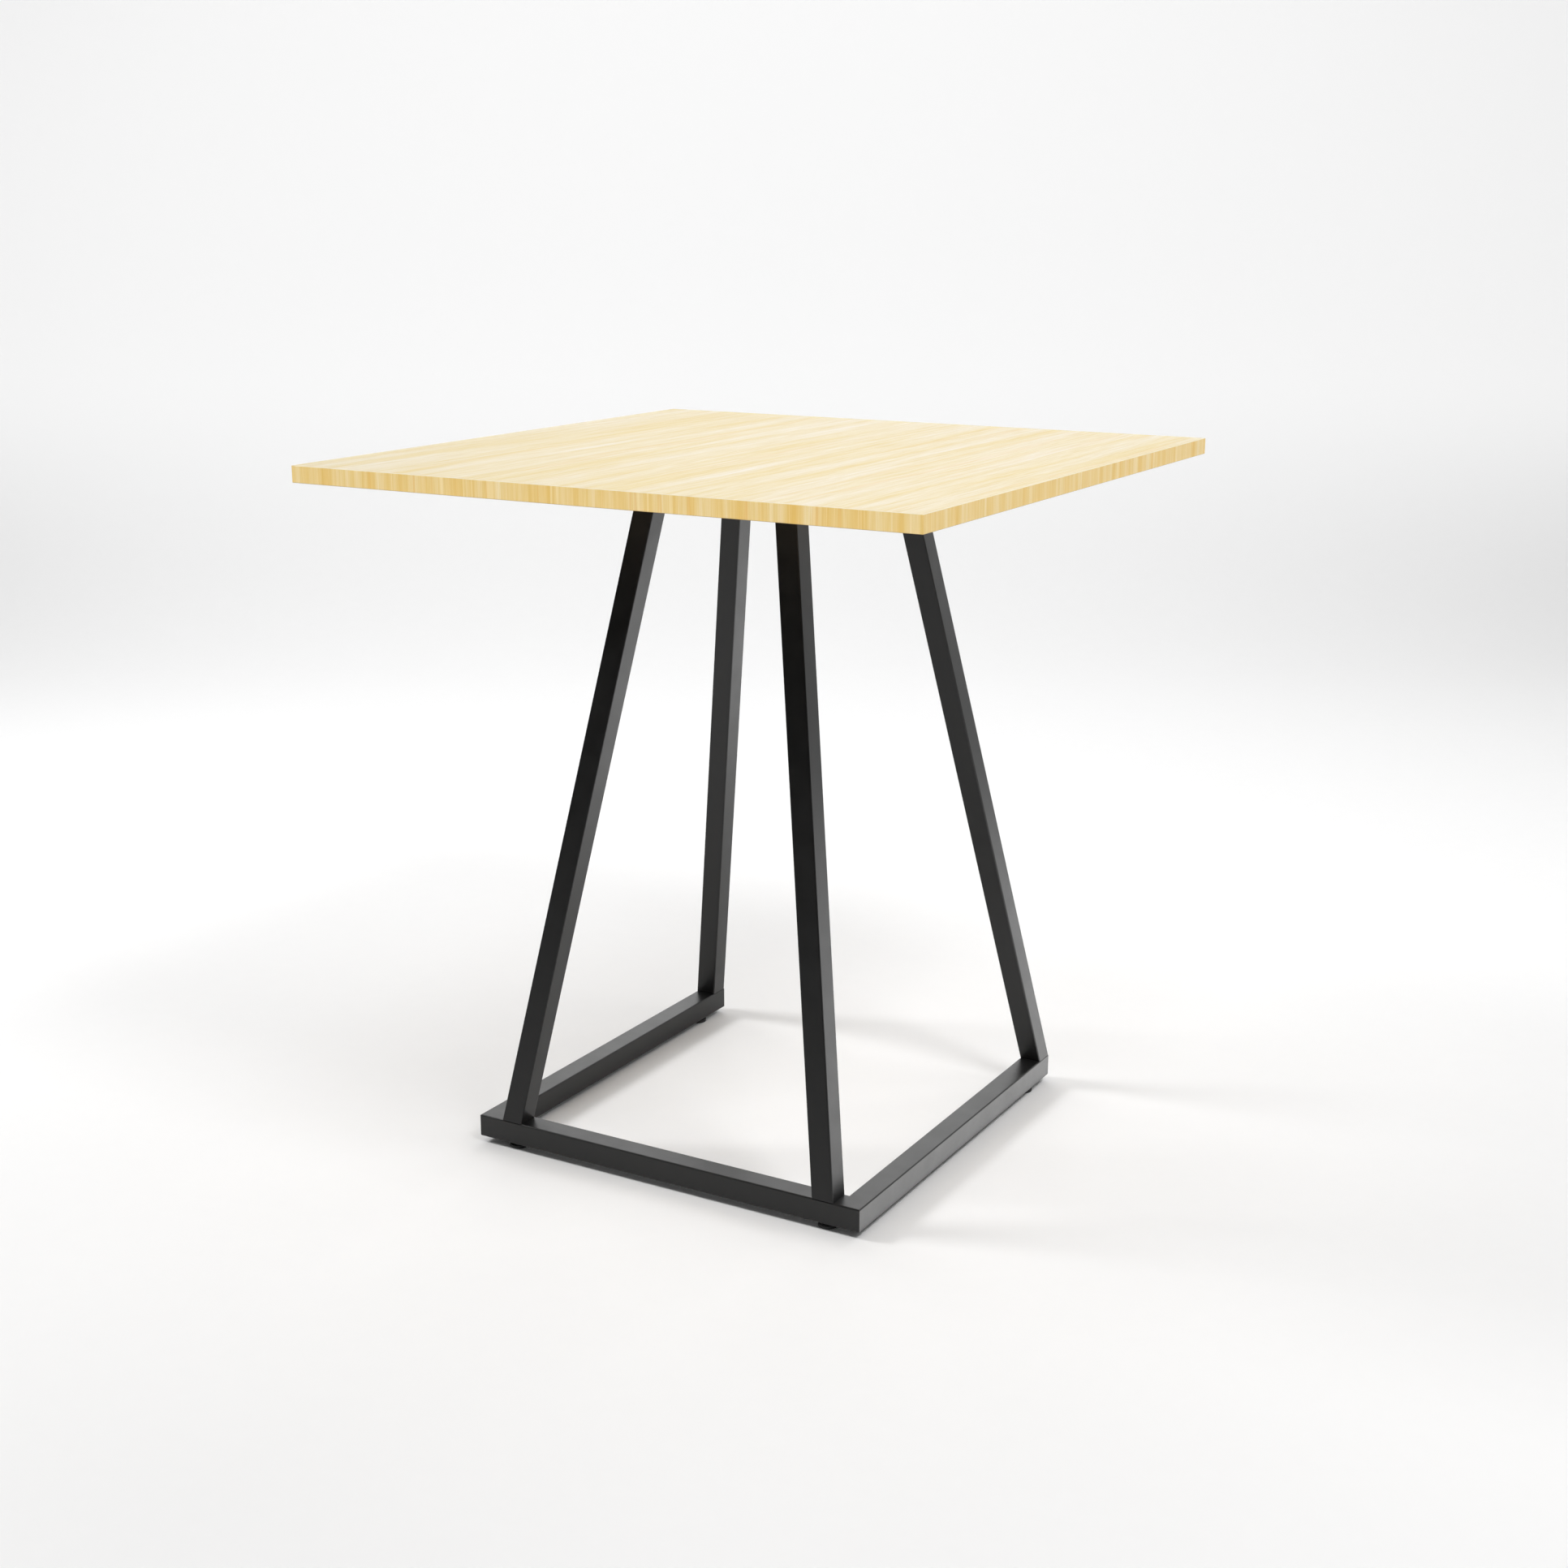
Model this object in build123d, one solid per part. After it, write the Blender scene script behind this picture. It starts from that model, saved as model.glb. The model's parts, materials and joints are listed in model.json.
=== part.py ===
from build123d import *

import os

# Bistro table: a square veneered top on a welded frame of square steel tube.
# Millimetres, +Z up. The origin is on the floor under the middle of the top.
# The front, at -Y, has the closed bar of the U-shaped base; the rear is open.

# ---- driving dimensions ----
TABLE_HEIGHT = 746.0
TOP_SIZE = 700.0
CORE_THICKNESS = 16.0
VENEER_THICKNESS = 0.6
EDGE_BAND_THICKNESS = 1.0
EDGE_CHAMFER = 0.4

TUBE = 25.0               # outer size of the square tube
WALL = 1.5
TUBE_RADIUS = 1.5         # outer corner radius of the tube
END_CAP = 2.0             # steel plate that closes a tube end

BASE_SIZE = 471.0         # outer width and depth of the U-shaped base
FLOOR_GAP = 7.0           # floor to the underside of the base bars
FRONT_LEG_INSET = 30.0    # front leg's outer face, in from the end of the front bar
FRONT_LEG_TOP = (78.5, -102.0)   # leg axis where it would meet the top's underside
REAR_LEG_TOP = (101.5, 100.0)

PLATE_THICKNESS = 4.0     # corner plates that carry the top
PLATE_SIDE = 60.0
PLATE_TIP = 8.0
SCREW_NEAR = 14.0         # screw hole to one side of the ring's inner corner
SCREW_FAR = 34.0          # and to the other side
SCREW_HOLE_DIAMETER = 6.6

SCREW_DIAMETER = 5.9
SCREW_LENGTH = 16.0
SCREW_HEAD_DIAMETER = 11.5
SCREW_HEAD_HEIGHT = 3.4
HEX_KEY = 4.0             # across flats
HEX_KEY_DEPTH = 2.0
WASHER_DIAMETER = 12.0
WASHER_THICKNESS = 1.6
INSERT_DIAMETER = 10.0
INSERT_BORE = 6.0
INSERT_LENGTH = 12.0

FOOT_FROM_BAR_END = 42.5
FOOT_PAD_DIAMETER = 20.0
FOOT_PAD_HEIGHT = 4.0
FOOT_PAD_CHAMFER = 1.0
FOOT_HEX = 13.0           # across flats
STUD_DIAMETER = 7.9       # M8 stud, 0.05 mm clear all round in its nut
STUD_SINK = 2.5           # stud moulded into the pad
STUD_LENGTH = 20.0        # above the hexagon
NUT_BORE = 8.0
NUT_BARREL_DIAMETER = 11.0
NUT_FLANGE_DIAMETER = 15.0
NUT_FLANGE_THICKNESS = 0.8
NUT_BULGE_DIAMETER = 14.0
NUT_BULGE_HEIGHT = 3.0
NUT_LENGTH = 14.0         # above the bar's underside

# ---- worked-out dimensions ----
TOP_THICKNESS = CORE_THICKNESS + 2 * VENEER_THICKNESS
UNDERSIDE = TABLE_HEIGHT - TOP_THICKNESS
CORE_BOTTOM = UNDERSIDE + VENEER_THICKNESS
PANEL_SIZE = TOP_SIZE - 2 * EDGE_BAND_THICKNESS
BASE_HALF = BASE_SIZE / 2
BAR_AXIS = BASE_HALF - TUBE / 2
BAR_TOP = FLOOR_GAP + TUBE
RING_BOTTOM = UNDERSIDE - TUBE
RING_AXIS_Z = UNDERSIDE - TUBE / 2
PLATE_BOTTOM = UNDERSIDE - PLATE_THICKNESS
FRONT_LEG_FOOT = (BASE_HALF - FRONT_LEG_INSET - TUBE / 2, -BAR_AXIS)
REAR_LEG_FOOT = (BAR_AXIS, BAR_AXIS)
FOOT_AXIS = BASE_HALF - FOOT_FROM_BAR_END
FOOT_HEX_TOP = FLOOR_GAP - NUT_FLANGE_THICKNESS
CENTRED_ON_FLOOR = (Align.CENTER, Align.CENTER, Align.MIN)


def leg_axis_at(foot, head, height):
    """Point on a leg's axis at a height: foot is on the bar, head at the top's underside."""
    share = (height - BAR_TOP) / (UNDERSIDE - BAR_TOP)
    return tuple(foot[i] + share * (head[i] - foot[i]) for i in range(2))


FRONT_CORNER = leg_axis_at(FRONT_LEG_FOOT, FRONT_LEG_TOP, RING_BOTTOM)
REAR_CORNER = leg_axis_at(REAR_LEG_FOOT, REAR_LEG_TOP, RING_BOTTOM)


# ---- basic shapes ----
def cylinder(diameter, bottom, top, x=0.0, y=0.0):
    return Pos(x, y, bottom) * Cylinder(diameter / 2, top - bottom, align=CENTRED_ON_FLOOR)


def hexagon(across_flats, bottom, top, x=0.0, y=0.0):
    profile = RegularPolygon(across_flats / 2, 6, major_radius=False)
    return Pos(x, y, bottom) * extrude(profile, amount=top - bottom)


def tube_outline(plane):
    return plane * RectangleRounded(TUBE, TUBE, TUBE_RADIUS)


def square_tube(start, end, normal):
    """Square tube from start to end; both ends are cut square to normal."""
    plane = Plane(origin=start, x_dir=(0, 1, 0) if normal == (1, 0, 0) else (1, 0, 0), z_dir=normal)
    bore = plane * Rectangle(TUBE - 2 * WALL, TUBE - 2 * WALL)
    run = Vector(*end) - Vector(*start)
    return extrude(tube_outline(plane) - bore, amount=run.length, dir=run.normalized())


def end_cap(centre, outward):
    """Steel plate that closes a tube; centre is on the tube's end, where the cap starts."""
    plane = Plane(origin=centre, z_dir=outward)
    return extrude(tube_outline(plane), amount=END_CAP)


def mirror_left(shape):
    return shape.mirror(Plane.YZ)


# ---- the top ----
def screw_places():
    """Where the eight screws stand, two to each corner plate."""
    places = []
    for corner in ("front", "rear"):
        origin, along_rail, along_side = ring_inner_corner(corner)
        for a, b in ((SCREW_NEAR, SCREW_FAR), (SCREW_FAR, SCREW_NEAR)):
            spot = origin + along_rail * a + along_side * b
            places += [(spot.X, spot.Y), (-spot.X, spot.Y)]
    return places


def panel(bottom, thickness, hole_top=None):
    """Square sheet inside the edge bands, with holes for the inserts up to hole_top."""
    sheet = Pos(0, 0, bottom) * Box(PANEL_SIZE, PANEL_SIZE, thickness, align=CENTRED_ON_FLOOR)
    if hole_top:
        for x, y in screw_places():
            sheet -= cylinder(INSERT_DIAMETER, bottom, hole_top, x, y)
    return sheet


def edge_bands():
    """Four cross-grain edge bands, mitred at the corners of the top."""
    outer = Box(TOP_SIZE, TOP_SIZE, TOP_THICKNESS, align=CENTRED_ON_FLOOR)
    outer = chamfer(outer.edges(), EDGE_CHAMFER)
    ring = outer - Box(PANEL_SIZE, PANEL_SIZE, TOP_THICKNESS, align=CENTRED_ON_FLOOR)
    quarter = extrude(
        make_face(Polyline((0, 0), (-TOP_SIZE, -TOP_SIZE), (TOP_SIZE, -TOP_SIZE), close=True)),
        amount=TOP_THICKNESS,
    )
    bands = {}
    for turn, side in enumerate(("front", "right", "rear", "left")):
        band = ring & Rot(0, 0, 90 * turn) * quarter
        bands[side + "_edge_band"] = Pos(0, 0, UNDERSIDE) * band
    return bands


def threaded_insert(x, y):
    body = cylinder(INSERT_DIAMETER, UNDERSIDE, UNDERSIDE + INSERT_LENGTH, x, y)
    return body - cylinder(INSERT_BORE, UNDERSIDE, UNDERSIDE + INSERT_LENGTH, x, y)


# ---- the welded frame ----
def base_bars():
    """Front bar and two side bars, mitred where they meet at the front."""
    z = FLOOR_GAP + TUBE / 2
    right_mitre = Plane(origin=(BASE_HALF, -BASE_HALF, z), z_dir=(1, 1, 0))
    left_mitre = Plane(origin=(-BASE_HALF, -BASE_HALF, z), z_dir=(-1, 1, 0))
    front = square_tube((-BASE_HALF, -BAR_AXIS, z), (BASE_HALF, -BAR_AXIS, z), (1, 0, 0))
    front = split(front, bisect_by=right_mitre, keep=Keep.BOTTOM)
    front = split(front, bisect_by=left_mitre, keep=Keep.BOTTOM)
    right = square_tube((BAR_AXIS, -BASE_HALF, z), (BAR_AXIS, BASE_HALF - END_CAP, z), (0, 1, 0))
    right = split(right, bisect_by=right_mitre, keep=Keep.TOP)
    for sign in (-1, 1):
        front -= cylinder(NUT_BARREL_DIAMETER, FLOOR_GAP, FLOOR_GAP + WALL, sign * FOOT_AXIS, -BAR_AXIS)
    right -= cylinder(NUT_BARREL_DIAMETER, FLOOR_GAP, FLOOR_GAP + WALL, BAR_AXIS, FOOT_AXIS)
    return {"front_base_bar": front, "right_base_bar": right, "left_base_bar": mirror_left(right)}


def leg(foot, corner):
    """Leg from the top of a base bar to the underside of the top ring."""
    return square_tube((*foot, BAR_TOP), (*corner, RING_BOTTOM), (0, 0, 1))


def cross_rail(corner):
    """Rail of the top ring across the table, with a cap's thickness free at each end."""
    reach = corner[0] + TUBE / 2 - END_CAP
    return square_tube((-reach, corner[1], RING_AXIS_Z), (reach, corner[1], RING_AXIS_Z), (1, 0, 0))


def ring_axis_x(y):
    """Distance of the right top rail's axis from the middle, at y."""
    slope = (REAR_CORNER[0] - FRONT_CORNER[0]) / (REAR_CORNER[1] - FRONT_CORNER[1])
    return FRONT_CORNER[0] + slope * (y - FRONT_CORNER[1])


def side_rail():
    """Right rail of the top ring, between the faces of the two cross rails."""
    front_y = FRONT_CORNER[1] + TUBE / 2
    rear_y = REAR_CORNER[1] - TUBE / 2
    start = (ring_axis_x(front_y), front_y, RING_AXIS_Z)
    end = (ring_axis_x(rear_y), rear_y, RING_AXIS_Z)
    return square_tube(start, end, (0, 1, 0))


def ring_inner_corner(corner):
    """Inner corner of the top ring on the right, and unit vectors along its two rails."""
    front_y = FRONT_CORNER[1] + TUBE / 2
    rear_y = REAR_CORNER[1] - TUBE / 2
    front = Vector(ring_axis_x(front_y) - TUBE / 2, front_y)
    rear = Vector(ring_axis_x(rear_y) - TUBE / 2, rear_y)
    if corner == "front":
        return front, Vector(-1, 0), (rear - front).normalized()
    return rear, Vector(-1, 0), (front - rear).normalized()


def corner_plate(corner):
    """Plate welded inside a right corner of the ring, flush with its top."""
    origin, along_rail, along_side = ring_inner_corner(corner)
    outline = [
        origin,
        origin + along_rail * PLATE_SIDE,
        origin + along_rail * PLATE_SIDE + along_side * PLATE_TIP,
        origin + along_rail * PLATE_TIP + along_side * PLATE_SIDE,
        origin + along_side * PLATE_SIDE,
    ]
    face = make_face(Polyline(*[(p.X, p.Y, PLATE_BOTTOM) for p in outline], close=True))
    plate = extrude(face, amount=PLATE_THICKNESS, dir=(0, 0, 1))
    for x, y in screw_places():
        plate -= cylinder(SCREW_HOLE_DIAMETER, PLATE_BOTTOM, UNDERSIDE, x, y)
    return plate


# ---- fasteners ----
def washer(x, y):
    disc = cylinder(WASHER_DIAMETER, PLATE_BOTTOM - WASHER_THICKNESS, PLATE_BOTTOM, x, y)
    return disc - cylinder(SCREW_HOLE_DIAMETER, PLATE_BOTTOM - WASHER_THICKNESS, PLATE_BOTTOM, x, y)


def top_screw(x, y):
    """Pan-head screw with a hexagon socket, head down."""
    seat = PLATE_BOTTOM - WASHER_THICKNESS
    head = cylinder(SCREW_HEAD_DIAMETER, seat - SCREW_HEAD_HEIGHT, seat, x, y)
    head = fillet(head.edges().group_by(Axis.Z)[0], SCREW_HEAD_HEIGHT / 2)
    shank = cylinder(SCREW_DIAMETER, seat, seat + SCREW_LENGTH, x, y)
    head_bottom = seat - SCREW_HEAD_HEIGHT
    return head + shank - hexagon(HEX_KEY, head_bottom, head_bottom + HEX_KEY_DEPTH, x, y)


# ---- levelling feet ----
def foot_nut(x, y):
    """Blind-rivet nut set in the underside of a base bar."""
    inside = FLOOR_GAP + WALL
    nut = cylinder(NUT_FLANGE_DIAMETER, FOOT_HEX_TOP, FLOOR_GAP, x, y)
    nut += cylinder(NUT_BARREL_DIAMETER, FLOOR_GAP, FLOOR_GAP + NUT_LENGTH, x, y)
    nut += cylinder(NUT_BULGE_DIAMETER, inside, inside + NUT_BULGE_HEIGHT, x, y)
    return nut - cylinder(NUT_BORE, FOOT_HEX_TOP, FLOOR_GAP + NUT_LENGTH, x, y)


def foot_stud(x, y):
    """Threaded stud with the hexagon that turns the foot, screwed right in."""
    stud = cylinder(STUD_DIAMETER, FOOT_PAD_HEIGHT - STUD_SINK, FOOT_HEX_TOP + STUD_LENGTH, x, y)
    return stud + hexagon(FOOT_HEX, FOOT_PAD_HEIGHT, FOOT_HEX_TOP, x, y)


def foot_pad(x, y):
    pad = cylinder(FOOT_PAD_DIAMETER, 0, FOOT_PAD_HEIGHT, x, y)
    pad = chamfer(pad.edges().filter_by(GeomType.CIRCLE), FOOT_PAD_CHAMFER)
    return pad - cylinder(STUD_DIAMETER, FOOT_PAD_HEIGHT - STUD_SINK, FOOT_PAD_HEIGHT, x, y)


FOOT_PLACES = {
    "front_left": (-FOOT_AXIS, -BAR_AXIS),
    "front_right": (FOOT_AXIS, -BAR_AXIS),
    "rear_left": (-BAR_AXIS, FOOT_AXIS),
    "rear_right": (BAR_AXIS, FOOT_AXIS),
}


def build():
    nodes = {
        "top_core_panel": panel(CORE_BOTTOM, CORE_THICKNESS, UNDERSIDE + INSERT_LENGTH),
        "top_veneer": panel(TABLE_HEIGHT - VENEER_THICKNESS, VENEER_THICKNESS),
        "underside_veneer": panel(UNDERSIDE, VENEER_THICKNESS, CORE_BOTTOM),
    }
    nodes.update(edge_bands())
    nodes["threaded_inserts"] = Compound([threaded_insert(x, y) for x, y in screw_places()])

    nodes.update(base_bars())
    bar_end = Vector(BAR_AXIS, BASE_HALF - END_CAP, FLOOR_GAP + TUBE / 2)
    base_cap = end_cap(bar_end, (0, 1, 0))
    nodes["base_bar_end_caps"] = Compound([base_cap, mirror_left(base_cap)])

    for row, foot, corner in (
        ("front", FRONT_LEG_FOOT, FRONT_CORNER),
        ("rear", REAR_LEG_FOOT, REAR_CORNER),
    ):
        right_leg = leg(foot, corner)
        nodes[row + "_right_leg"] = right_leg
        nodes[row + "_left_leg"] = mirror_left(right_leg)
        nodes[row + "_top_rail"] = cross_rail(corner)
        plate = corner_plate(row)
        nodes[row + "_right_corner_plate"] = plate
        nodes[row + "_left_corner_plate"] = mirror_left(plate)
    nodes["right_top_rail"] = side_rail()
    nodes["left_top_rail"] = mirror_left(nodes["right_top_rail"])
    rail_caps = []
    for corner in (FRONT_CORNER, REAR_CORNER):
        start = Vector(corner[0] + TUBE / 2 - END_CAP, corner[1], RING_AXIS_Z)
        cap = end_cap(start, (1, 0, 0))
        rail_caps += [cap, mirror_left(cap)]
    nodes["top_rail_end_caps"] = Compound(rail_caps)

    nodes["screw_washers"] = Compound([washer(x, y) for x, y in screw_places()])
    nodes["top_screws"] = Compound([top_screw(x, y) for x, y in screw_places()])

    for name, (x, y) in FOOT_PLACES.items():
        nodes[name + "_foot_nut"] = foot_nut(x, y)
        nodes[name + "_foot_stud"] = foot_stud(x, y)
        nodes[name + "_foot_pad"] = foot_pad(x, y)
    return nodes


os.makedirs("parts", exist_ok=True)
for node, shape in build().items():
    export_step(shape, os.path.join("parts", node + ".step"))
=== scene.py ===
import json
import math

import bmesh
import bpy
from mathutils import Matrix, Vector


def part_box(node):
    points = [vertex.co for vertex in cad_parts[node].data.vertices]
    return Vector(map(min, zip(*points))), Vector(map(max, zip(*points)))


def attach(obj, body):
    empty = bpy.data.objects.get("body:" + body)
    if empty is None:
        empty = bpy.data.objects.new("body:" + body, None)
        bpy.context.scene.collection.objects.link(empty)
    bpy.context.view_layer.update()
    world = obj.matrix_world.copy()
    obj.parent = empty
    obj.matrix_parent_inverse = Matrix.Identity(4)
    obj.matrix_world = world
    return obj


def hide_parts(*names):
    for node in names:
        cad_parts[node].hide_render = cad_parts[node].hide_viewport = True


# Bistro table: pale veneered top with honey edge bands on a black powder-coated tube frame.
# Everything is in metres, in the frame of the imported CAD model.

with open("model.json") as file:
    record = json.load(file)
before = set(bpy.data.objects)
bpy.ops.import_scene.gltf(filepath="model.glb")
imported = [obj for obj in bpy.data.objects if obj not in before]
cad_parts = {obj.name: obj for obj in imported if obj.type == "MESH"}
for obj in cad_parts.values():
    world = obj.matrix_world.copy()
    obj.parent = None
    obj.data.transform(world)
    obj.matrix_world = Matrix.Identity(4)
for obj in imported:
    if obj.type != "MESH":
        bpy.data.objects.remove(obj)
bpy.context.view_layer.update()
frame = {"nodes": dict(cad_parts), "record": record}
nodes = frame["nodes"]
scene = bpy.context.scene

# ---- camera, lights and stage ----
CAMERA_AZIMUTH = 29.97          # degrees round from the front, towards +X
CAMERA_ELEVATION = 15.02
CAMERA_DISTANCE = 2.401
CAMERA_AIM = (0.0, 0.0228, 0.3786)
CAMERA_LENS = 50.0
CAMERA_SENSOR = 36.0

WORLD_STRENGTH = 0.21
# name: azimuth, elevation (degrees), distance, side of the square (metres), power (watts)
STUDIO_LIGHTS = {
    "left_softbox": (290, 38, 3.4, 0.8, 47),
    "right_softbox": (68, 52, 3.0, 0.8, 31),
    "left_fill": (250, 42, 3.4, 1.6, 14),
    "right_fill": (110, 42, 3.4, 1.6, 18),
    "rear_left_fill": (205, 45, 3.4, 1.6, 18),
    "rear_right_fill": (155, 45, 3.4, 1.6, 19),
    "front_fill": (5, 70, 3.2, 1.4, 15),
}
# These two only light the wooden top, to bring up its edges.
TOP_LIGHTS = {
    "top_front_light": (5, 2, 3.2, 1.4, 45),
    "top_right_light": (85, 2, 3.2, 1.4, 15),
}
# Cards that are seen only as sheen on the metal: two low behind the table, and one on the floor.
# name: azimuth, elevation (degrees), distance, width, height (metres), power (watts)
SHEEN_CARDS = {
    "rear_card": (195, 14, 2.6, 3.6, 1.2, 14),
    "right_card": (150, 4, 2.6, 1.2, 0.5, 2.2),
}
FLOOR_CARD_CENTRE = (1.17, 0.82, 0.002)
FLOOR_CARD_SIZE = (1.86, 2.55)
FLOOR_CARD_POWER = 27

BACKDROP_DISTANCE = 3.1         # from the table to the wall, straight behind it
BACKDROP_RADIUS = 0.9           # of the sweep from floor to wall
BACKDROP_HEIGHT = 3.5
BACKDROP_STEPS = 24
FLOOR_TONE = 0.86
WALL_TONE = 0.30
WALL_GLOW = 0.66                # the wall is lit from behind
STAGE_REACH = 3.6               # to each side
STAGE_FRONT = 3.4
SURROUND_RADIUS = 9.0           # white all round, seen only by the camera
SURROUND_GLOW = 0.93

# ---- feet ----
PAD_ROUND = 0.0012              # radius of the pad's rims
PAD_SEGMENTS = 64
ROUND_STEPS = 6
GRIP_RINGS = 3                  # ridges in the face that stands on the floor
GRIP_DEPTH = 0.0005
GRIP_SLOPE = 0.35               # share of each ridge or groove that is its sloping side
STUD_SEGMENTS = 48              # a multiple of six, for the hexagon's corners
THREAD_RADIUS = 0.00395
THREAD_PITCH = 0.00125
THREAD_DEPTH = 0.00067
THREAD_STEPS = 8                # rings of points in each turn of the thread
THREAD_ROOT = 0.25              # share of the pitch that is flat at the root, and at the crest
THREAD_CREST = 0.125
HEX_FLATS = 0.013               # across the flats
HEX_CHAMFER = 0.0006
SHARP_ANGLE = 35                # degrees between faces that meet at a crisp edge

# ---- wood ----
GRAIN_WANDER = 0.010            # how far the grain strays sideways


def direction(azimuth, elevation):
    """Unit vector from the table to a place round it; azimuth 0 is the front and 90 is +X."""
    a, e = math.radians(azimuth), math.radians(elevation)
    return Vector((math.sin(a) * math.cos(e), -math.cos(a) * math.cos(e), math.sin(e)))


# ---- materials ----
class Nodes:
    """Short calls for building a node material."""

    def __init__(self, name):
        self.material = bpy.data.materials.new(name)
        self.material.use_nodes = True
        self.tree = self.material.node_tree
        self.shader = self.tree.nodes["Principled BSDF"]

    def add(self, kind, **settings):
        node = self.tree.nodes.new(kind)
        for key, value in settings.items():
            setattr(node, key, value)
        return node

    def link(self, source, target):
        self.tree.links.new(source, target)

    def set(self, **sockets):
        for name, value in sockets.items():
            self.shader.inputs[name.replace("_", " ")].default_value = value

    def place(self):
        return self.add("ShaderNodeTexCoord").outputs["Object"]

    def stretched(self, source, scale, offset=(0, 0, 0)):
        mapping = self.add("ShaderNodeMapping")
        mapping.inputs["Location"].default_value = offset
        mapping.inputs["Scale"].default_value = scale
        self.link(source, mapping.inputs["Vector"])
        return mapping.outputs["Vector"]

    def noise(self, vector, scale=1.0, detail=3.0, roughness=0.5):
        node = self.add("ShaderNodeTexNoise")
        self.link(vector, node.inputs["Vector"])
        node.inputs["Scale"].default_value = scale
        node.inputs["Detail"].default_value = detail
        node.inputs["Roughness"].default_value = roughness
        return node.outputs["Fac"]

    def ramp(self, fac, stops, smooth=False):
        node = self.add("ShaderNodeValToRGB")
        ramp = node.color_ramp
        ramp.interpolation = "EASE" if smooth else "LINEAR"
        while len(ramp.elements) < len(stops):
            ramp.elements.new(0.5)
        for element, (position, colour) in zip(ramp.elements, stops):
            element.position = position
            element.color = (*colour, 1) if len(colour) == 3 else colour
        self.link(fac, node.inputs["Fac"])
        return node.outputs["Color"]

    def mix(self, fac, a, b, mode="MIX"):
        node = self.add("ShaderNodeMix", data_type="RGBA", blend_type=mode)
        for value, socket in ((fac, node.inputs[0]), (a, node.inputs[6]), (b, node.inputs[7])):
            if isinstance(value, bpy.types.NodeSocket):
                self.link(value, socket)
            else:
                socket.default_value = value if socket.type == "VALUE" else (*value, 1)
        return node.outputs[2]

    def math(self, operation, a, b=0.0):
        node = self.add("ShaderNodeMath", operation=operation)
        for value, socket in ((a, node.inputs[0]), (b, node.inputs[1])):
            if isinstance(value, bpy.types.NodeSocket):
                self.link(value, socket)
            else:
                socket.default_value = value
        return node.outputs[0]

    def bump(self, height, distance, strength=1.0):
        node = self.add("ShaderNodeBump")
        node.inputs["Strength"].default_value = strength
        node.inputs["Distance"].default_value = distance
        self.link(height, node.inputs["Height"])
        self.link(node.outputs["Normal"], self.shader.inputs["Normal"])


def grey(value):
    return (value, value, value)


def painted_arris_shading(m, base, painted_shade, painted_light):
    """Mix painted shade into the small chamfers that look down and painted light into those that look
    up, over a base colour.
    """
    facing = m.add("ShaderNodeSeparateXYZ")
    m.link(m.add("ShaderNodeNewGeometry").outputs["True Normal"], facing.inputs[0])
    up = facing.outputs["Z"]
    down = m.math("MULTIPLY", up, -1.0)
    for slope, tone in ((up, painted_light), (down, painted_shade)):
        painted_shading_mask = m.ramp(slope, [(0.2, grey(0.0)), (0.5, grey(1.0))])
        base = m.mix(painted_shading_mask, base, tone)
    return base


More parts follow.
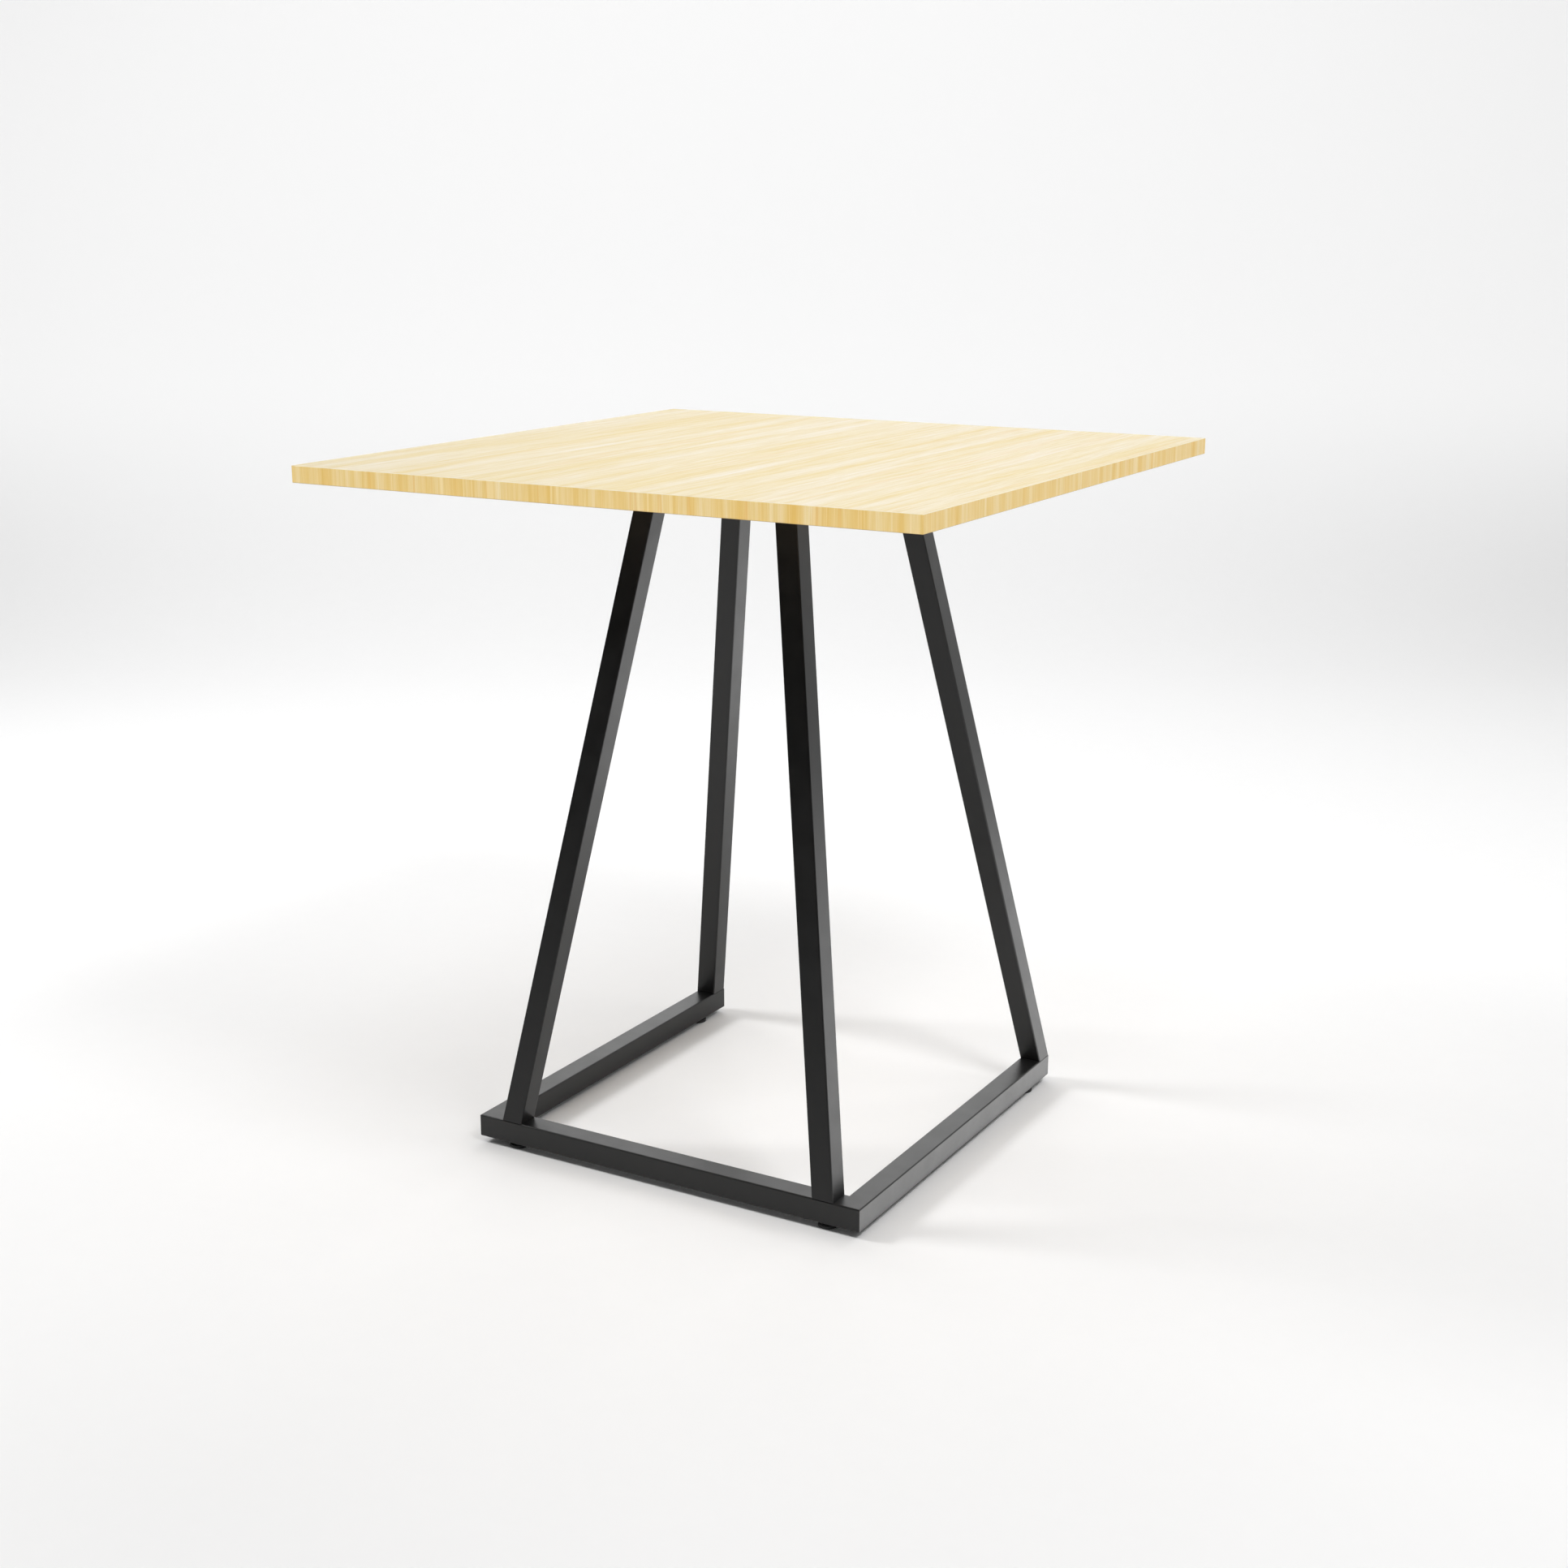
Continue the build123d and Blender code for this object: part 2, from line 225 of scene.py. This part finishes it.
def wood(name, tones, streak, across, fineness, along, seed, roughness, seams=0.2, arris_painted_shading=None):
    """Straight-grained veneer. across gives the place with its first axis running across the grain.

    tones are the dark, middle and light colours, and streak is the colour of the odd darker line.
    fineness and along are how many times finer the grain is, across it and along it. seams is how
    strongly pale lines show between strips. The last argument holds the painted shade and painted light
    colours for faces that look down and up.
    """
    m = Nodes(name)
    place = across(m)
    dark, middle, light = tones
    flow = m.stretched(place, (fineness, along * 0.5, 1.0), (seed, 0, 0))
    wander = m.noise(m.stretched(flow, (9.0, 2.0, 1.0)), detail=2.0)
    bent = m.add("ShaderNodeVectorMath", operation="MULTIPLY_ADD")
    m.link(wander, bent.inputs[0])
    bent.inputs[1].default_value = (GRAIN_WANDER, 0, 0)
    m.link(flow, bent.inputs[2])
    grain = bent.outputs["Vector"]

    # Broad strips, bands within them and fine fibres, each narrower than the last.
    strips = m.noise(m.stretched(grain, (38.0, 1.0, 1.0)), detail=2.0, roughness=0.45)
    base = m.ramp(strips, [(0.30, dark), (0.50, middle), (0.70, light)])
    bands = m.noise(m.stretched(grain, (170.0, 1.6, 1.6), (3.1, 0, 0)), detail=3.0, roughness=0.6)
    band_tone = m.ramp(bands, [(0.28, (0.96, 0.91, 0.74)), (0.5, grey(1.0)), (0.72, (1.03, 1.06, 1.22))])
    base = m.mix(1.0, base, band_tone, "MULTIPLY")
    fine = m.noise(m.stretched(grain, (900.0, 9.0, 9.0), (7.7, 0, 0)), detail=3.0, roughness=0.65)
    fine_tone = m.ramp(fine, [(0.34, (0.95, 0.90, 0.74)), (0.50, grey(1.0)), (0.66, (1.03, 1.07, 1.24))])
    base = m.mix(1.0, base, fine_tone, "MULTIPLY")

    # Odd darker lines, pale lines between strips, and flecks.
    lines = m.noise(m.stretched(grain, (60.0, 0.7, 0.7), (12.3, 0, 0)), detail=1.0)
    odd = m.ramp(lines, [(0.635, grey(0.0)), (0.665, grey(1.0)), (0.69, grey(0.25))], smooth=True)
    base = m.mix(m.math("MULTIPLY", odd, 0.55), base, streak)
    strip_edges = m.noise(m.stretched(grain, (55.0, 0.5, 0.5), (20.9, 0, 0)), detail=1.0)
    pale_line = m.ramp(strip_edges, [(0.488, grey(0.0)), (0.50, grey(1.0)), (0.512, grey(0.0))])
    pale = tuple(min(1.0, c * 1.06) for c in light)
    base = m.mix(m.math("MULTIPLY", pale_line, seams), base, pale)
    flecks = m.noise(m.stretched(place, (1500.0, 90.0, 90.0), (1.3, 0, 0)), detail=1.0)
    fleck_mask = m.ramp(flecks, [(0.70, grey(0.0)), (0.76, grey(1.0))])
    base = m.mix(m.math("MULTIPLY", fleck_mask, 0.22), base, streak)
    # Painted shade on faces that look down and painted light on faces that look up.
    if arris_painted_shading:
        base = painted_arris_shading(m, base, *arris_painted_shading)
    m.link(base, m.shader.inputs["Base Color"])

    shine = m.ramp(fine, [(0.2, grey(roughness + 0.07)), (0.8, grey(roughness - 0.05))])
    m.link(shine, m.shader.inputs["Roughness"])
    pores = m.math("ADD", m.math("MULTIPLY", fine, 0.6), m.math("MULTIPLY", flecks, -0.4))
    m.bump(pores, 0.00012, 0.5)
    m.set(Specular_IOR_Level=0.15)
    return m.material


def along_y(m):
    """Grain from front to back: across the grain is X."""
    return m.place()


def upright(m):
    """Grain up the edge of the top: across the grain is along the edge, which is X or Y."""
    parts = m.add("ShaderNodeSeparateXYZ")
    m.link(m.place(), parts.inputs[0])
    join = m.add("ShaderNodeCombineXYZ")
    m.link(m.math("ADD", parts.outputs["X"], parts.outputs["Y"]), join.inputs["X"])
    m.link(parts.outputs["Z"], join.inputs["Y"])
    return join.outputs[0]


def core_board():
    m = Nodes("core_board")
    chips = m.noise(m.place(), scale=420.0, detail=3.0, roughness=0.7)
    stops = [(0.3, (0.30, 0.20, 0.11)), (0.55, (0.52, 0.38, 0.23)), (0.75, (0.68, 0.54, 0.36))]
    m.link(m.ramp(chips, stops), m.shader.inputs["Base Color"])
    m.bump(chips, 0.0003, 0.6)
    m.set(Roughness=0.85)
    return m.material


def powder_coat():
    m = Nodes("black_powder_coat")
    place = m.place()
    peel = m.noise(place, scale=1400.0, detail=2.0, roughness=0.55)
    cloud = m.noise(place, scale=45.0, detail=4.0, roughness=0.6)
    tone = m.ramp(cloud, [(0.3, grey(0.0065)), (0.7, grey(0.0095))])
    m.link(tone, m.shader.inputs["Base Color"])
    shine = m.math("ADD", m.math("MULTIPLY", cloud, 0.17), m.math("MULTIPLY", peel, 0.05))
    m.link(m.math("ADD", shine, 0.255), m.shader.inputs["Roughness"])
    m.bump(peel, 0.00006, 0.35)
    m.set(Specular_IOR_Level=0.40)
    return m.material


def plated(name, colour, roughness, turned_scale):
    """Turned or plated metal with fine rings and a little tarnish."""
    m = Nodes(name)
    place = m.place()
    rings = m.noise(m.stretched(place, (120.0, 120.0, turned_scale)), detail=3.0, roughness=0.6)
    tarnish = m.noise(place, scale=240.0, detail=3.0)
    dark = tuple(c * 0.72 for c in colour)
    m.link(m.ramp(tarnish, [(0.35, dark), (0.6, colour)]), m.shader.inputs["Base Color"])
    shine = m.ramp(rings, [(0.3, grey(roughness + 0.10)), (0.7, grey(roughness - 0.06))])
    m.link(shine, m.shader.inputs["Roughness"])
    m.bump(rings, 0.00003, 0.5)
    m.set(Metallic=1.0)
    return m.material


def nylon():
    m = Nodes("black_nylon")
    grain = m.noise(m.place(), scale=2200.0, detail=2.0, roughness=0.6)
    m.link(m.ramp(grain, [(0.3, grey(0.010)), (0.7, grey(0.020))]), m.shader.inputs["Base Color"])
    m.link(m.ramp(grain, [(0.3, grey(0.62)), (0.7, grey(0.50))]), m.shader.inputs["Roughness"])
    m.bump(grain, 0.00005, 0.5)
    return m.material


def paper():
    """Matt white floor with hardly any tooth, turning into a wall that glows."""
    m = Nodes("white_paper")
    height = m.add("ShaderNodeSeparateXYZ")
    m.link(m.place(), height.inputs[0])
    tone = m.ramp(height.outputs["Z"], [(0.02, grey(FLOOR_TONE)), (0.6, grey(WALL_TONE))], smooth=True)
    tooth = m.noise(m.place(), scale=40.0, detail=2.0)
    tooth_tone = m.ramp(tooth, [(0.3, grey(0.995)), (0.7, grey(1.0))])
    m.link(m.mix(1.0, tone, tooth_tone, "MULTIPLY"), m.shader.inputs["Base Color"])
    glow = m.ramp(height.outputs["Z"], [(0.02, grey(0.0)), (0.6, grey(WALL_GLOW))], smooth=True)
    m.link(glow, m.shader.inputs["Emission Color"])
    m.set(Roughness=0.95, Specular_IOR_Level=0.0, Emission_Strength=1.0)
    return m.material


def surround_white():
    m = Nodes("surround_white")
    m.set(Base_Color=(0, 0, 0, 1), Specular_IOR_Level=0.0, Roughness=1.0)
    m.set(Emission_Color=(*grey(SURROUND_GLOW), 1), Emission_Strength=1.0)
    return m.material


FACE_TONES = ((0.522, 0.418, 0.196), (0.535, 0.452, 0.272), (0.551, 0.488, 0.361))
EDGE_TONES = ((0.69, 0.455, 0.130), (0.72, 0.530, 0.218), (0.745, 0.600, 0.320))
BACKING_TONES = ((0.50, 0.36, 0.21), (0.58, 0.43, 0.27), (0.64, 0.50, 0.33))
# Painted shade for the edge band's chamfers that look down, and painted light for those that look up.
EDGE_ARRIS_PAINTED_SHADING = ((0.36, 0.23, 0.10), (0.64, 0.57, 0.42))

MATERIALS = {
    "face_veneer": wood(
        "face_veneer", FACE_TONES, streak=(0.53, 0.38, 0.16), across=along_y,
        fineness=1.3, along=5.0, seed=4.2, roughness=0.46,
    ),
    "edge_veneer": wood(
        "edge_veneer", EDGE_TONES, streak=(0.68, 0.39, 0.09), across=upright,
        fineness=1.5, along=3.0, seed=9.7, roughness=0.50, seams=0.7, arris_painted_shading=EDGE_ARRIS_PAINTED_SHADING,
    ),
    "backing_veneer": wood(
        "backing_veneer", BACKING_TONES, streak=(0.42, 0.28, 0.15), across=along_y,
        fineness=1.0, along=3.0, seed=15.4, roughness=0.60,
    ),
    "core_board": core_board(),
    "frame_powder_coat": powder_coat(),
    "zinc_fasteners": plated("zinc_plate", (0.66, 0.67, 0.68), 0.32, 900.0),
    "insert_brass": plated("turned_brass", (0.78, 0.57, 0.24), 0.28, 1400.0),
    "foot_nylon": nylon(),
}

# ---- CAD nodes take their finishes ----
for part in frame["record"]["subparts"]:
    mesh = nodes[part["node"]].data
    mesh.materials.clear()
    mesh.materials.append(MATERIALS[part["material_slot"]])


# ---- detailed feet ----
def new_piece(name, bm, material, body, node):
    """Make an object from a closed mesh, riding on a body in place of a CAD node."""
    mesh = bpy.data.meshes.new(name)
    bmesh.ops.recalc_face_normals(bm, faces=bm.faces)
    bm.to_mesh(mesh)
    bm.free()
    piece = bpy.data.objects.new(name, mesh)
    scene.collection.objects.link(piece)
    mesh.materials.append(material)
    for polygon in mesh.polygons:
        polygon.use_smooth = True
    mesh.set_sharp_from_angle(angle=math.radians(SHARP_ANGLE))
    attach(piece, body)
    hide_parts(node)
    return piece


def turned(rings, centre, segments):
    """Closed solid about a vertical axis, from its rings of (radius, height) in order.

    A radius may be a function of the angle. The first and last rings have a radius of 0.
    """
    bm = bmesh.new()
    made = []
    for radius, height in rings:
        if radius == 0:
            made.append([bm.verts.new((centre.x, centre.y, height))])
            continue
        ring = []
        for k in range(segments):
            a = 2 * math.pi * k / segments
            r = radius(a) if callable(radius) else radius
            ring.append(bm.verts.new((centre.x + r * math.cos(a), centre.y + r * math.sin(a), height)))
        made.append(ring)
    for low, high in zip(made, made[1:]):
        for k in range(segments):
            after = (k + 1) % segments
            corners = [low[k % len(low)], low[after % len(low)]]
            corners += [high[after % len(high)], high[k % len(high)]]
            bm.faces.new(list(dict.fromkeys(corners)))
    return bm


def foot_pad(place, body, node):
    """Moulded pad with rounded rims, and grip rings in the face that stands on the floor."""
    low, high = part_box(node)
    centre, radius = (low + high) / 2, (high.x - low.x) / 2
    bottom, top = low.z, high.z
    rings = [(0, bottom + GRIP_DEPTH)]
    step = (radius - 2.5 * PAD_ROUND) / (2 * GRIP_RINGS)
    for k in range(2 * GRIP_RINGS):
        height = bottom + (GRIP_DEPTH if k % 2 == 0 else 0)
        rings += [(step * (k + GRIP_SLOPE), height), (step * (k + 1), height)]
    rings.append((radius - 2 * PAD_ROUND, bottom))
    quarter = [math.pi / 2 * k / ROUND_STEPS for k in range(ROUND_STEPS + 1)]
    inner = radius - PAD_ROUND
    for a in quarter:
        rings.append((inner + PAD_ROUND * math.sin(a), bottom + PAD_ROUND - PAD_ROUND * math.cos(a)))
    for a in quarter:
        rings.append((inner + PAD_ROUND * math.cos(a), top - PAD_ROUND + PAD_ROUND * math.sin(a)))
    rings.append((0, top))
    bm = turned(rings, centre, PAD_SEGMENTS)
    return new_piece(place + "_pad", bm, MATERIALS["foot_nylon"], body, node)


def hexagon(angle):
    """Radius of the hexagon, which has a corner at angle 0."""
    return HEX_FLATS / 2 / math.cos(angle % (math.pi / 3) - math.pi / 6)


def thread(height, start, end):
    """Radius of a right-hand thread that runs from start to end, as a function of the angle."""
    fade = min(1.0, (height - start) / THREAD_PITCH, (end - height) / THREAD_PITCH)

    def radius(angle):
        turn = ((height - start) / THREAD_PITCH - angle / (2 * math.pi)) % 1.0
        peak = 1 - abs(2 * turn - 1)
        ridge = min(1.0, max(0.0, (peak - THREAD_ROOT) / (1 - THREAD_ROOT - THREAD_CREST)))
        return THREAD_RADIUS - THREAD_DEPTH * (1 - ridge * fade)

    return radius


def foot_stud(place, body, node, hex_bottom, hex_top):
    """Stud with a hexagon for the spanner, and a real helical thread above it."""
    low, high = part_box(node)
    centre, root = (low + high) / 2, THREAD_RADIUS - THREAD_DEPTH
    rings = [(0, low.z), (root, low.z), (root, hex_bottom)]
    rings += [(HEX_FLATS / 2, hex_bottom), (hexagon, hex_bottom + HEX_CHAMFER)]
    rings += [(hexagon, hex_top - HEX_CHAMFER), (HEX_FLATS / 2, hex_top), (root, hex_top)]
    start, end = hex_top + THREAD_PITCH / 2, high.z - THREAD_PITCH / 2
    count = int((end - start) / THREAD_PITCH * THREAD_STEPS)
    for k in range(count + 1):
        height = start + (end - start) * k / count
        rings.append((thread(height, start, end), height))
    rings += [(root - THREAD_DEPTH, high.z), (0, high.z)]
    bm = turned(rings, centre, STUD_SEGMENTS)
    return new_piece(place + "_stud", bm, MATERIALS["zinc_fasteners"], body, node)


for place in ("front_left", "front_right", "rear_left", "rear_right"):
    body = place + "_foot"
    pad_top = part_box(body + "_pad")[1].z
    nut_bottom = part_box(body + "_nut")[0].z
    foot_pad(place, body, body + "_pad")
    foot_stud(place, body, body + "_stud", pad_top, nut_bottom)


# ---- stage ----
def sweep():
    """White paper sweep: floor, quarter round and wall, square to the camera."""
    profile = [(-STAGE_FRONT, 0.0)]
    start = BACKDROP_DISTANCE - BACKDROP_RADIUS
    for k in range(BACKDROP_STEPS + 1):
        a = math.pi / 2 * k / BACKDROP_STEPS
        rise = BACKDROP_RADIUS - BACKDROP_RADIUS * math.cos(a)
        profile.append((start + BACKDROP_RADIUS * math.sin(a), rise))
    profile.append((BACKDROP_DISTANCE, BACKDROP_HEIGHT))
    back = -direction(CAMERA_AZIMUTH, 0)
    side = back.cross(Vector((0, 0, 1)))
    bm = bmesh.new()
    edges = []
    for reach in (-STAGE_REACH, STAGE_REACH):
        edges.append([bm.verts.new(back * d + side * reach + Vector((0, 0, h))) for d, h in profile])
    for k in range(len(profile) - 1):
        bm.faces.new((edges[0][k], edges[1][k], edges[1][k + 1], edges[0][k + 1]))
    mesh = bpy.data.meshes.new("paper_sweep")
    bm.to_mesh(mesh)
    bm.free()
    for polygon in mesh.polygons:
        polygon.use_smooth = True
    mesh.materials.append(paper())
    stage = bpy.data.objects.new("paper_sweep", mesh)
    scene.collection.objects.link(stage)


def surround():
    """White all round, so that the table stands against white from every side."""
    bm = bmesh.new()
    bmesh.ops.create_uvsphere(bm, u_segments=48, v_segments=24, radius=SURROUND_RADIUS)
    mesh = bpy.data.meshes.new("surround")
    bm.to_mesh(mesh)
    bm.free()
    mesh.materials.append(surround_white())
    stage = bpy.data.objects.new("surround", mesh)
    scene.collection.objects.link(stage)
    stage.visible_diffuse = False
    stage.visible_glossy = False
    stage.visible_transmission = False
    stage.visible_shadow = False


sweep()
surround()

# ---- lights ----
world = bpy.data.worlds.new("studio")
scene.world = world
world.use_nodes = True
background = world.node_tree.nodes["Background"]
background.inputs["Color"].default_value = (1, 1, 1, 1)
background.inputs["Strength"].default_value = WORLD_STRENGTH
world.cycles_visibility.glossy = False
aim = Vector(CAMERA_AIM)


def soft_light(name, azimuth, elevation, distance, size, power):
    """Rectangular light that faces the table and isn't seen itself."""
    data = bpy.data.lights.new(name, "AREA")
    data.shape = "RECTANGLE"
    data.size, data.size_y = size
    data.energy = power
    lamp = bpy.data.objects.new(name, data)
    lamp.location = aim + direction(azimuth, elevation) * distance
    lamp.rotation_euler = direction(azimuth, elevation).to_track_quat("Z", "Y").to_euler()
    lamp.visible_camera = False
    scene.collection.objects.link(lamp)
    return lamp


for name, (azimuth, elevation, distance, side, power) in STUDIO_LIGHTS.items():
    soft_light(name, azimuth, elevation, distance, (side, side), power)

wooden_top = bpy.data.collections.new("wooden_top")
for name in ("top_veneer", "front_edge_band", "right_edge_band", "rear_edge_band", "left_edge_band"):
    wooden_top.objects.link(nodes[name])
for name, (azimuth, elevation, distance, side, power) in TOP_LIGHTS.items():
    lamp = soft_light(name, azimuth, elevation, distance, (side, side), power)
    lamp.light_linking.receiver_collection = wooden_top

for name, (azimuth, elevation, distance, width, height, power) in SHEEN_CARDS.items():
    card = soft_light(name, azimuth, elevation, distance, (width, height), power)
    card.visible_diffuse = False
floor_card = soft_light("floor_card", 0, 90, 1.0, FLOOR_CARD_SIZE, FLOOR_CARD_POWER)
floor_card.location = FLOOR_CARD_CENTRE
floor_card.rotation_euler = (math.pi, 0, 0)
floor_card.visible_diffuse = False

# ---- camera ----
camera_data = bpy.data.cameras.new("camera")
camera_data.lens = CAMERA_LENS
camera_data.sensor_width = CAMERA_SENSOR
camera_data.clip_end = 50.0
camera = bpy.data.objects.new("camera", camera_data)
to_camera = direction(CAMERA_AZIMUTH, CAMERA_ELEVATION)
camera.location = aim + to_camera * CAMERA_DISTANCE
camera.rotation_euler = to_camera.to_track_quat("Z", "Y").to_euler()
scene.collection.objects.link(camera)
scene.camera = camera
scene.view_settings.view_transform = "Standard"
